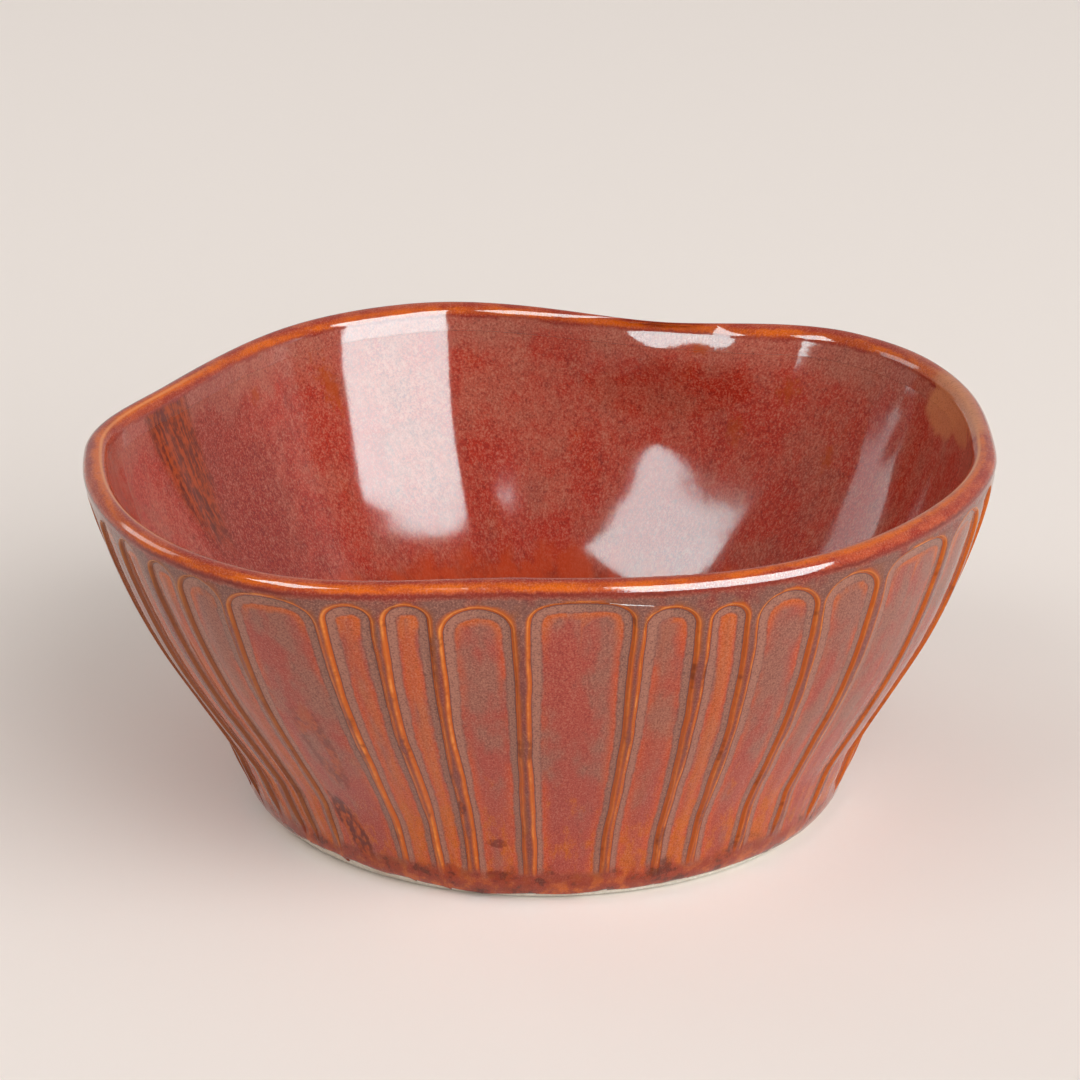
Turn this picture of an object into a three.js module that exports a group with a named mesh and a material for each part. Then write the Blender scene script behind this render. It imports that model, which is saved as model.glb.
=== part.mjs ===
// Fluted stoneware bowl. It was thrown round, pushed at the rim into a soft six-cornered plan, cut
// with upright flutes by hand, fired, and coated with glass: one coat outside, one inside, and a
// band over the lip where both run together. Sizes are in millimetres and angles in degrees,
// anticlockwise from +X. The foot stands on z = 0.
import * as THREE from 'three';

const bowlHeight = 65.8;
const lipThickness = 4.2;
const coatThickness = 0.6;     // glass on the clay
const coatGap = 0.25;          // between the glass and the clay, and between two coats
const smoothColumns = 56;      // steps round the bowl where it has no flutes

// Foot ring and the shallow hollow under it, all bare clay
const foot = { outer: 50.4, flatOuter: 49.4, flatInner: 43, hollow: 40.5, hollowHeight: 2.6, edge: 0.8 };

// Flutes: how deep the tool cut, the width of a flute's sloping side, the rise of its floor
// towards the middle as a share of the depth, and the width above which the middle is worked out
const flute = { depth: 0.9, side: 2.1, crown: 0.22, wide: 9 };

// Each flute's width and the plain land after it, as degrees round the rim, from the front left
// onwards, and how far its left edge leans round the bowl between rim and foot
const flutes = [
  [5.5, 2.6, 1], [4.7, 1.0, 0], [6.7, 1.2, -2], [9.8, 1.4, -4], [4.6, 1.5, 0], [4.6, 1.8, 0.5],
  [8.0, 2.1, 0.5], [12.5, 1.7, 0.5], [5.8, 1.6, -1], [4.3, 1.7, 1], [7.4, 1.8, 2], [8.0, 2.1, 3],
  [13.8, 2.5, 2], [9.0, 1.6, -3], [6.1, 1.9, -1], [10.2, 1.4, 0], [5.2, 1.7, 1], [7.9, 1.5, 1],
  [12.2, 2.0, 2], [4.9, 1.6, 0], [7.1, 1.8, -1], [9.6, 1.5, -2], [5.6, 2.2, 0], [11.4, 1.7, 1],
  [6.8, 1.6, 1], [5.8, 1.9, 0], [9.4, 1.5, -1], [12.9, 2.1, -1], [5.9, 1.6, 0], [7.5, 1.7, 1],
  [4.8, 1.5, 2], [9.3, 1.9, 1], [7.2, 1.6, 0], [10.8, 2.0, -1], [5.4, 1.7, 0], [7.7, 1.8, 1],
  [9.1, 1.6, 1], [6.2, 1.9, 0],
];
const firstFlute = 212.5;

// Where the rim was pushed out or in, as [angle, distance from the round]
const pushes = [[46, 7.2], [73, -5.4], [108, 8.0], [157, -3.7], [184, 0.8], [236, 7.1], [268, -3.2],
  [300, -0.3], [330, -1.5], [355, -1.0]];
const pushStart = 6;           // height at which the pushing begins
const pushPower = 1.25;

// The glass surface, from the foot up the outside, over the lip and down to the middle of the floor.
// Each stop has its radius and height. On a fluted stop, cut is the share of the full depth and open
// the share of the full width, which closes to an arch at the top of each flute.
const outside = [
  { radius: 52.1, z: 1.8 },
  { radius: 52.9, z: 3.0 },
  { radius: 54.0, z: 5.2, cut: 0.4, open: 0.9 },
  { radius: 55.8, z: 9.2, cut: 1, open: 1 },
  { radius: 58.0, z: 15.1, cut: 1, open: 1 },
  { radius: 63.7, z: 25, cut: 1, open: 1 },
  { radius: 70.4, z: 37, cut: 1, open: 1 },
  { radius: 75.5, z: 49, cut: 1, open: 1 },
  { radius: 78.4, z: 58.6, cut: 1, open: 1 },
  { radius: 79.0, z: 61.6, cut: 0.8, open: 0.72 },
  { radius: 79.15, z: 62.7 },
];
const lipMiddle = 77.2;        // radius of the lip's crest on the round
const lipSpring = 63.7;        // height at which the lip starts to round over
const lip = [
  { radius: 79.2, z: 62.95 },
  ...[0, 45, 90, 135, 180].map((turn) => ({
    radius: lipMiddle + lipThickness / 2 * Math.cos(THREE.MathUtils.degToRad(turn)),
    z: lipSpring + (bowlHeight - lipSpring) * Math.sin(THREE.MathUtils.degToRad(turn)),
  })),
  { radius: 74.6, z: 60.9 },
];
const inside = [
  { radius: 74.5, z: 60.65 },
  { radius: 72.4, z: 53 },
  { radius: 68.2, z: 42.5 },
  { radius: 61.7, z: 30.5 },
  { radius: 51.5, z: 16.9 },
  { radius: 43.5, z: 10.8 },
  { radius: 35, z: 8.4 },
  { radius: 22, z: 7.5 },
  { radius: 0, z: 7.4 },
];

const colours = { clay: 0xe1dccd, outside: 0x8c5550, lip: 0xc8641e, inside: 0x5a1f17 };

// How far the rim stands out from the round at an angle: a cosine ease between the pushes
function pushAt(angle) {
  const turned = THREE.MathUtils.euclideanModulo(angle - pushes[0][0], 360) + pushes[0][0];
  const next = pushes.findIndex(([at]) => at > turned);
  const [toAngle, toPush] = next < 0 ? [pushes[0][0] + 360, pushes[0][1]] : pushes[next];
  const [fromAngle, fromPush] = pushes.at(next < 0 ? -1 : next - 1);
  const share = 0.5 - 0.5 * Math.cos(Math.PI * (turned - fromAngle) / (toAngle - fromAngle));
  return THREE.MathUtils.lerp(fromPush, toPush, share);
}

// The share of the rim's push that a height takes
function pushShare(z) {
  return THREE.MathUtils.clamp((z - pushStart) / (bowlHeight - pushStart), 0, 1) ** pushPower;
}

// The columns of a fluted row: an angle for each, and its cut as a share of the full depth
function flutedColumns(stop) {
  const fall = 1 - stop.z / bowlHeight;
  const round = 360 / flutes.reduce((sum, [width, land]) => sum + width + land, 0);
  const columns = [];
  let start = firstFlute;
  flutes.forEach(([width, land, lean], index) => {
    const nextLean = flutes[(index + 1) % flutes.length][2];
    const left = start + lean * fall;
    const right = start + width * round + nextLean * fall;
    const middle = (left + right) / 2;
    const half = (right - left) / 2 * stop.open;
    const side = Math.min(THREE.MathUtils.radToDeg(flute.side / stop.radius), 0.75 * half);
    columns.push({ angle: middle - half, cut: 0 }, { angle: middle - half + side, cut: 1 });
    if (width > flute.wide) {
      columns.push({ angle: middle, cut: 1 - flute.crown });
    }
    columns.push({ angle: middle + half - side, cut: 1 }, { angle: middle + half, cut: 0 });
    start += (width + land) * round;
  });
  return columns;
}

function smoothColumnsRound() {
  return Array.from({ length: smoothColumns }, (_, step) => ({
    angle: firstFlute + 360 * step / smoothColumns, cut: 0,
  }));
}

// One row of points round the bowl, with the surface moved in by depth along the stop's normal.
// Its order is its place along the glass surface.
function rowAt(stop, order, normal, depth) {
  const radius = stop.radius - depth * normal.x;
  const z = stop.z - depth * normal.y;
  if (stop.radius === 0) {
    return { order, points: [{ angle: firstFlute, point: new THREE.Vector3(0, 0, z) }] };
  }
  const columns = stop.cut ? flutedColumns(stop) : smoothColumnsRound();
  const points = columns.map(({ angle, cut }) => {
    const out = radius + pushAt(angle) * pushShare(stop.z) - cut * (stop.cut ?? 0) * flute.depth;
    const turn = THREE.MathUtils.degToRad(angle);
    return { angle, point: new THREE.Vector3(out * Math.cos(turn), out * Math.sin(turn), z) };
  });
  return { order, points };
}

// Rows for a run of stops, moved in by depth. Each normal comes from the stop's neighbours.
function rowsOf(stops, first, last, depth) {
  const rows = [];
  for (let index = first; index <= last; index += 1) {
    const before = stops[Math.max(index - 1, 0)];
    const after = stops[Math.min(index + 1, stops.length - 1)];
    const along = new THREE.Vector2(after.radius - before.radius, after.z - before.z).normalize();
    const normal = stops[index].radius === 0 ? new THREE.Vector2(0, 1) : new THREE.Vector2(along.y, -along.x);
    rows.push(rowAt(stops[index], index, normal, depth));
  }
  return rows;
}

// Triangles between two neighbouring rows, which may differ in their number of columns: the shorter
// step round is taken first. The diagonals run the same way whichever row comes first, so that a
// coat's back and the clay under it have the same facets.
function bandBetween(lower, upper) {
  const steps = (row) => (row.points.length > 1 ? row.points.length : 0);
  const at = (row, step) => row.points[step % row.points.length];
  const angleAt = (row, step) => at(row, step).angle + 360 * Math.floor(step / row.points.length);
  const backwards = upper.order < lower.order;
  const triangles = [];
  let low = 0;
  let up = 0;
  while (low < steps(lower) || up < steps(upper)) {
    const lead = steps(lower) === steps(upper) ? low - up : angleAt(lower, low + 1) - angleAt(upper, up + 1);
    const upperFirst = backwards ? lead >= 0 : lead > 0;
    const a = at(lower, low);
    const b = at(upper, up);
    if (low >= steps(lower) || (up < steps(upper) && upperFirst)) {
      up += 1;
      triangles.push(a, at(upper, up), b);
    } else {
      low += 1;
      triangles.push(a, at(lower, low), b);
    }
  }
  return triangles.map(({ point }) => point);
}

// Joins rows, in order, into one closed skin that faces out. A row of one point is a pole.
function skinOf(rows, closesOnItself) {
  const bands = rows.slice(1).map((row, index) => bandBetween(rows[index], row));
  if (closesOnItself) {
    bands.push(bandBetween(rows.at(-1), rows[0]));
  }
  const positions = bands.flat().flatMap((point) => point.toArray());
  const geometry = new THREE.BufferGeometry();
  geometry.setAttribute('position', new THREE.Float32BufferAttribute(positions, 3));
  geometry.computeVertexNormals();
  return geometry;
}

function meshOf(name, geometry, color, roughness) {
  const mesh = new THREE.Mesh(geometry, new THREE.MeshStandardMaterial({ color, roughness, metalness: 0 }));
  mesh.name = name;
  return mesh;
}

// A coat of glass over a run of stops: its face, then its back, closed along both edges
function coatOf(stops, first, last) {
  const face = rowsOf(stops, first, last, 0);
  const back = rowsOf(stops, first, last, coatThickness).reverse();
  return skinOf([...face, ...back], true);
}

// The inner coat closes at a pole in the middle of the floor, on its back and on its face
function poolCoatOf(stops, first, last) {
  const face = rowsOf(stops, first, last, 0);
  const back = rowsOf(stops, first, last, coatThickness).reverse();
  return skinOf([...back, ...face], false);
}

// The fired clay: its underside and foot ring, then the whole wall under the glass
function clayBody(stops) {
  const underside = [
    { radius: 0, z: foot.hollowHeight },
    { radius: foot.hollow, z: foot.hollowHeight },
    { radius: foot.flatInner, z: 0 },
    { radius: foot.flatOuter, z: 0 },
    { radius: foot.outer, z: foot.edge },
  ];
  const none = new THREE.Vector2(0, 0);
  const rows = underside.map((stop) => rowAt(stop, -1, none, 0));
  rows.push(...rowsOf(stops, 0, stops.length - 1, coatThickness + coatGap));
  return skinOf(rows, false);
}

const surface = [...outside, ...lip, ...inside];
const lipFirst = outside.length;
const insideFirst = lipFirst + lip.length;

const bowl = new THREE.Group();
bowl.add(
  meshOf('clay_body', clayBody(surface), colours.clay, 0.85),
  meshOf('outer_glaze', coatOf(surface, 0, lipFirst - 1), colours.outside, 0.25),
  meshOf('rim_glaze', coatOf(surface, lipFirst, insideFirst - 1), colours.lip, 0.2),
  meshOf('inner_glaze', poolCoatOf(surface, insideFirst, surface.length - 1), colours.inside, 0.12),
);

// The bowl's plan is uneven, so its origin is set under the middle of its box
const middle = new THREE.Box3().setFromObject(bowl).getCenter(new THREE.Vector3());
bowl.position.set(-middle.x, -middle.y, 0);

export default bowl;
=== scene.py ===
import math
import bpy
import numpy as np
from mathutils import Matrix


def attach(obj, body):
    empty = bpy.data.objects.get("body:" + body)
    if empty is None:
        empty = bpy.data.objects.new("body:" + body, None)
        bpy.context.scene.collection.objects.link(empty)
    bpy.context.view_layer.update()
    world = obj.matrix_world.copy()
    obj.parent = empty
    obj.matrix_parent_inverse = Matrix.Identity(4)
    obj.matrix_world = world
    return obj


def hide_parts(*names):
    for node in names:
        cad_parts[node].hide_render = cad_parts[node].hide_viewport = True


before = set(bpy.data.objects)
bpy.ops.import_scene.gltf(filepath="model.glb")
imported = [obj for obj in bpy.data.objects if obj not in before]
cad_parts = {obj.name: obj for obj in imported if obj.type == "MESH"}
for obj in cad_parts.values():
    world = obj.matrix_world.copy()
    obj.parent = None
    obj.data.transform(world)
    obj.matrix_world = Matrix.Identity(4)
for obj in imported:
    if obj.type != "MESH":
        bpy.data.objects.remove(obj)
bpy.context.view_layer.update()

mm = 0.001
print("frame loaded with", len(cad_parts), "solids")

# The bowl's own sizes, in millimetres and degrees anticlockwise from +X, as in its solids
bowl = {
    "height": 65.8,
    "lipMiddle": 77.2,  # radius of the lip's crest, where the rim is round
    "lipHalf": 2.1,  # half the lip's thickness
    "lipSpring": 63.7,  # height at which the lip starts to round over
    "pushes": [(46, 7.2), (73, -5.4), (108, 8.0), (157, -3.7), (184, 0.8), (236, 7.1),
               (268, -3.2), (300, -0.3), (330, -1.5), (355, -1.0)],  # angle, distance from the round
    "pushStart": 6.0,  # height at which the pushing begins
    "pushPowers": [(20, 1.25), (46, 3.4), (73, 3.8), (108, 0.9), (150, 1.25)],  # angle, how late it grows
    "waves": [(0.10, 5, 1.0, 17), (0.08, 9, 2.3, -11), (0.05, 16, 0.7, 7)],  # depth, number, start, slant
    "wavesStart": (4, 14),  # heights between which the waves come in
    "wavesFace": (-0.4, 0.6),  # and how far out the surface faces where they do
    # Dents in the wall, then where fingers pressed its inside alone: angle, reach, height, reach, depth
    "dents": [(68.4, 11.2, 36.4, 22.0, 0.39), (39.2, 10.0, 50.9, 15.0, 0.85)],
    "pinches": [(68.7, 9.0, 59.8, 6.5, -1.03), (68.7, 9.0, 66.2, 4.7, 1.81), (74.1, 10.9, 59.8, 6.5, -0.25),
                (74.1, 10.9, 66.2, 4.7, 1.92), (58.8, 5.0, 59.8, 6.5, -1.49), (58.8, 5.0, 66.2, 4.7, -0.45),
                (112.5, 6.9, 60.0, 16.6, -0.59), (99.3, 6.8, 24.9, 18.1, 0.29), (89.7, 9.5, 34.3, 11.3, 0.09),
                (71.8, 9.1, 46.6, 6.0, 0.6), (70.7, 10.3, 36.6, 5.6, -0.28), (60.2, 12.2, 14.5, 8.0, -0.1)],
    "dentsStart": (1, 8),  # heights between which both come in
    "outerWall": [(0, 50.9), (1.8, 52.1), (3.2, 53.0), (6.2, 54.4), (9.2, 55.75), (12.2, 56.9), (15.1, 58.0),
                  (18, 59.6), (25, 63.7), (37, 70.4), (49, 75.5), (58.6, 78.4), (62.7, 79.15), (63.7, 79.3)],
    "innerWall": [(75.1, 63.7), (74.5, 60.65), (72.4, 53), (68.6, 42.5), (61.9, 30.5), (51.55, 16.9),
                  (43.5, 10.8), (35, 8.4), (22, 7.5), (0, 7.4)],  # radius, height
    "coat": 0.55,  # thickness of the glaze
    "bandFoot": 63.3,  # height at which the outer coat meets the coat of the lip
    "bandRun": 3.72,  # from there up to the lip's crest, along the glaze
    "linerTop": 61.0,  # height at which the lip's coat meets the inner coat
    # Angle, and how far past the lip's crest its amber line runs, less than 0 outside
    "amberMiddle": [(30, 1.9), (60, 2.1), (125, 2.1), (165, 0.9), (196, 0.2), (224, -1.85), (276, -1.85),
                    (305, -0.5), (345, 0.2)],
    "innerEdgeHighlight": [(10, 1), (40, 0), (140, 0), (165, 1)],  # angle, strength of the painted highlight along the lip's inner edge, inside the crest
}


def easeRound(stops, angle):
    # Between two (angle, value) stops, a + (b - a) * (1 - cos(pi * share)) / 2, and on round the bowl
    at, value = np.array(stops, float).T
    at, value = np.append(at, at[0] + 360), np.append(value, value[0])
    turned = (angle - at[0]) % 360 + at[0]
    k = np.clip(np.searchsorted(at, turned, side="right") - 1, 0, len(at) - 2)
    share = (turned - at[k]) / (at[k + 1] - at[k])
    return value[k] + (value[k + 1] - value[k]) * (0.5 - 0.5 * np.cos(np.pi * share))


def smoothThrough(stops, x):
    # A cubic through (x, y) stops: at each stop its slope is the mean of the slopes on either side
    xs, ys = np.array(stops, float).T
    slope = np.gradient(ys, xs)
    k = np.clip(np.searchsorted(xs, x) - 1, 0, len(xs) - 2)
    gap = xs[k + 1] - xs[k]
    t = np.clip((x - xs[k]) / gap, 0, 1)
    rise = 3 * t**2 - 2 * t**3
    return (ys[k] * (1 - rise) + ys[k + 1] * rise
            + gap * (t**3 - 2 * t**2 + t) * slope[k] + gap * (t**3 - t**2) * slope[k + 1])


def smoothStep(low, high, x):
    # 3t^2 - 2t^3 of x's share of the way from low to high
    t = np.clip((x - low) / (high - low), 0, 1)
    return t * t * (3 - 2 * t)


def wanderRound(angle, bumps, seed):
    # Smooth noise round the bowl, from -1 to 1: a random value at each of so many even angles, eased between
    value = np.random.default_rng(seed).uniform(-1, 1, bumps)
    return easeRound([(360 * k / bumps, v) for k, v in enumerate(value)], angle)


def pushShare(angle, height):
    # The share of the rim's push that a height takes: its share of the way up, to the angle's power
    rise = np.clip((height - bowl["pushStart"]) / (bowl["height"] - bowl["pushStart"]), 1e-6, 1)
    return rise ** easeRound(bowl["pushPowers"], angle)


def unevenness(angle, height):
    # The slow unevenness that hands leave: waves round the bowl whose crests turn with height
    turn = np.radians(angle)
    waves = sum(depth * np.sin(number * turn + start + height / slant)
                for depth, number, start, slant in bowl["waves"])
    return waves * smoothStep(*bowl["wavesStart"], height)


def dentAt(dents, angle, height):
    # Small dents: a bell across the angle times a bell along the height
    total = 0
    for at, reach, level, rise, depth in dents:
        off = (angle - at + 180) % 360 - 180
        total = total + depth * np.exp(-((off / reach) ** 2) - ((height - level) / rise) ** 2)
    return total * smoothStep(*bowl["dentsStart"], height)


def wallRadius(angle, height, radius, outside=1.0, inside=0.0):
    # The round's radius, plus the push and the dents, plus the unevenness by the share that faces outside
    # and the pinches by the share that faces inside
    return (radius + easeRound(bowl["pushes"], angle) * pushShare(angle, height)
            + dentAt(bowl["dents"], angle, height) + unevenness(angle, height) * outside
            + dentAt(bowl["pinches"], angle, height) * inside)


# The solids have the middle of the lip's outline over the origin
lipAngles = np.arange(0, 360, 0.25)
lipRadius = bowl["lipMiddle"] + bowl["lipHalf"] + easeRound(bowl["pushes"], lipAngles)
lipOutline = np.stack([lipRadius * np.cos(np.radians(lipAngles)), lipRadius * np.sin(np.radians(lipAngles))])
bowlMiddle = (lipOutline.max(axis=1) + lipOutline.min(axis=1)) / 2


def placed(angle, radius, height):
    # Points in metres from an angle, a radius that has its push already, and a height
    turn = np.radians(angle)
    x = radius * np.cos(turn) - bowlMiddle[0]
    y = radius * np.sin(turn) - bowlMiddle[1]
    return np.stack([x, y, height + 0 * x], axis=-1) * mm


def skinObject(name, points, ring=False, poles=(), sharpRows=(), attributes=None):
    # A mesh on a grid of rows by columns, whose columns close round the bowl. A ring's rows close as
    # well. A pole is the point that the first or the last row closes to.
    rows, columns = points.shape[:2]
    low = np.arange(rows if ring else rows - 1)[:, None]
    up = (low + 1) % rows
    here = np.arange(columns)[None, :]
    after = (here + 1) % columns
    quads = np.stack([low * columns + here, low * columns + after,
                      up * columns + after, up * columns + here], axis=-1)
    faces = quads.reshape(-1, 4).tolist()
    vertices = points.reshape(-1, 3)
    around = np.arange(columns)
    following = (around + 1) % columns
    for row, pole in poles:
        tip = np.full(columns, len(vertices))
        first, second = (following, around) if row == 0 else (around, following)
        faces += np.stack([row * columns + first, row * columns + second, tip], axis=-1).tolist()
        vertices = np.vstack([vertices, pole])
    mesh = bpy.data.meshes.new(name)
    mesh.from_pydata(vertices, [], faces)
    mesh.polygons.foreach_set("use_smooth", np.ones(len(mesh.polygons), bool))
    for label, values in (attributes or {}).items():
        width = 1 if values.ndim == 2 else 3
        listed = values.reshape(-1, width)
        padded = np.vstack([listed, np.repeat(listed[-1:], len(poles), axis=0)])
        kind, field = ("FLOAT", "value") if width == 1 else ("FLOAT_VECTOR", "vector")
        mesh.attributes.new(label, kind, "POINT").data.foreach_set(field, padded.astype(np.float32).ravel())
    if len(sharpRows):
        ends = np.empty(2 * len(mesh.edges), np.int32)
        mesh.edges.foreach_get("vertices", ends)
        rowOf = ends.reshape(-1, 2) // columns
        sharp = (rowOf[:, 0] == rowOf[:, 1]) & np.isin(rowOf[:, 0], sharpRows)
        mesh.attributes.new("sharp_edge", "BOOLEAN", "EDGE").data.foreach_set("value", sharp)
    mesh.update()
    piece = bpy.data.objects.new(name, mesh)
    bpy.context.scene.collection.objects.link(piece)
    return piece


def unrolled(angle, height, share=1.0):
    # Where a point lies on an upright cylinder as wide as the rim, in millimetres, so that a pattern
    # on it runs straight up the flared wall. On the floor the share of that width falls to 0.
    turn = np.radians(angle)
    rim = bowl["lipMiddle"] * share
    return np.stack([rim * np.cos(turn), rim * np.sin(turn), height + 0 * turn], axis=-1)


# The flutes. Each has its width and the land after it in degrees at the rim, the lean of its left
# edge between rim and foot, and the height of its arch. They start at the front left.
fluting = {
    "first": 212.5,
    "flutes": [
        (5.5, 2.6, 1, 62.9), (4.7, 1.0, 0, 62.6), (6.7, 1.2, -2, 62.8), (9.8, 1.4, -4, 62.8),
        (4.6, 1.5, 0, 62.4), (4.6, 1.8, 0.5, 62.5), (8.0, 2.1, 0.5, 61.8), (12.5, 1.7, 0.5, 62.7),
        (5.8, 1.6, -1, 61.4), (4.3, 1.7, 1, 60.9), (7.4, 1.8, 2, 62.0), (8.0, 2.1, 3, 62.1),
        (13.8, 2.5, 2, 62.3), (9.0, 1.6, -3, 62.3), (6.1, 1.9, -1, 62.6), (10.2, 1.4, 0, 61.8),
        (5.2, 1.7, 1, 62.4), (7.9, 1.5, 1, 61.5), (12.2, 2.0, 2, 62.5), (4.9, 1.6, 0, 61.9),
        (7.1, 1.8, -1, 62.3), (9.6, 1.5, -2, 62.7), (5.6, 2.2, 0, 61.2), (11.4, 1.7, 1, 62.2),
        (6.8, 1.6, 1, 62.6), (5.8, 1.9, 0, 61.7), (9.4, 1.5, -1, 62.4), (12.9, 2.1, -1, 62.1),
        (5.9, 1.6, 0, 62.7), (7.5, 1.7, 1, 61.9), (4.8, 1.5, 2, 61.4), (9.3, 1.9, 1, 62.5),
        (7.2, 1.6, 0, 62.1), (10.8, 2.0, -1, 62.6), (5.4, 1.7, 0, 61.8), (7.7, 1.8, 1, 62.3),
        (9.1, 1.6, 1, 62.0), (6.2, 1.9, 0, 62.5),
    ],
    "depth": 0.5,  # of the cut, in millimetres
    "depthShares": (0.85, 1.1),  # the least and the most that one flute has of it
    "steep": (0.4, 0.3),  # width of the steep side, and the most share of a land that it takes
    "steepPower": 1.7,  # how early the side falls past its crest
    "sideTurn": 0.6,  # share of a half flute within which the left side's width becomes the right one's
    "dish": (0.1, 1.6),  # fall of the floor as a share of the depth, and how wide it is
    "crown": (0.28, 1.5, 0.5),  # rise of the floor's middle likewise, where it starts, its least width
    "burr": (0.05, 0.12, 0.2),  # the bead along each crest: height, distance out, reach
    "arch": (0.95, 4.6),  # height of an arch as a share of half its width, and at most
    "archPower": (2.0, 0.9),  # roundness of its outline, and what is added for the widest
    "archWide": (5, 9),  # half widths between which that is added
    "wobbles": [(0.22, 12.0), (0.11, 4.0)],  # how far an edge strays, height between two turns
    "wobbleSeed": 11,
    "fade": (4.4, 8.6),  # heights between which the cuts run out above the foot
    "fadeShift": (-1.0, 1.2),  # the lowest and the highest that one flute moves them
    "cutSeed": 7,
    "edgeColumns": [0, 0.15, 0.5, 1.1, 1.75, 2.5],  # millimetres in from the foot of the steep side
    "crowded": 3.3,  # half width below which they crowd
    "middleColumns": [0.66, 0.33],  # shares of the last one's distance from the middle
    "steepColumns": [0.2, 0.45, 0.7, 0.9, 1.0, 1.14],  # shares of the steep side up from its foot
    "footRows": [0, 0.0015, 0.004, 0.008, 0.013],  # shares of the way up to the arch
    "bodyRows": (0.02, 1, 50),  # the same from, to, and how many
    "archOpens": [0.985, 0.95, 0.9, 0.82, 0.72, 0.6, 0.45, 0.3, 0.12],  # how wide open each row of an arch is
    "topRows": [0.1, 0.28, 0.5, 0.75, 1.0],  # shares of the way from there to the lip's coat
    "topOpens": 0.5,  # how far the columns spread again on that way
    "backRows": 13,
    "narrow": (2.2, 4.6),  # half widths between which a flute stops being narrow
    "bandLeft": (1.15, 1.8),  # width of the grey band beside the left side, low down and at the top
    "bandRight": (1.05, 1.5),
    "bandHeights": (18, 56),
    "bandTurn": 0.7,  # as sideTurn, for the band
    "bandMost": 0.5,  # share of a half flute
}
footLine = {  # the ragged lower edge of the outer glaze: angle, height
    "stops": [(228, 2.7), (240, 2.0), (256, 0.7), (269, 1.1), (284, 1.35), (310, 1.7), (335, 1.3), (380, 1.2),
              (420, 2.0), (470, 1.2), (510, 1.7), (550, 1.4)],
    "ragged": [(47, 0.16, 3), (83, 0.14, 4), (149, 0.1, 5)],  # bumps round the bowl, height, seed
    "bead": 0.6,  # height over which the edge rounds off
    "raggedReach": 2.5,  # height over which the rows above follow it
    "swell": (3.4, 1.6, 0.16),  # the thick roll of glaze above it: height, reach, rise
}


def footLineAt(angle):
    # The eased stops plus three layers of smooth noise
    ragged = sum(height * wanderRound(angle, bumps, seed) for bumps, height, seed in footLine["ragged"])
    return easeRound(footLine["stops"], angle) + ragged


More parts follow.
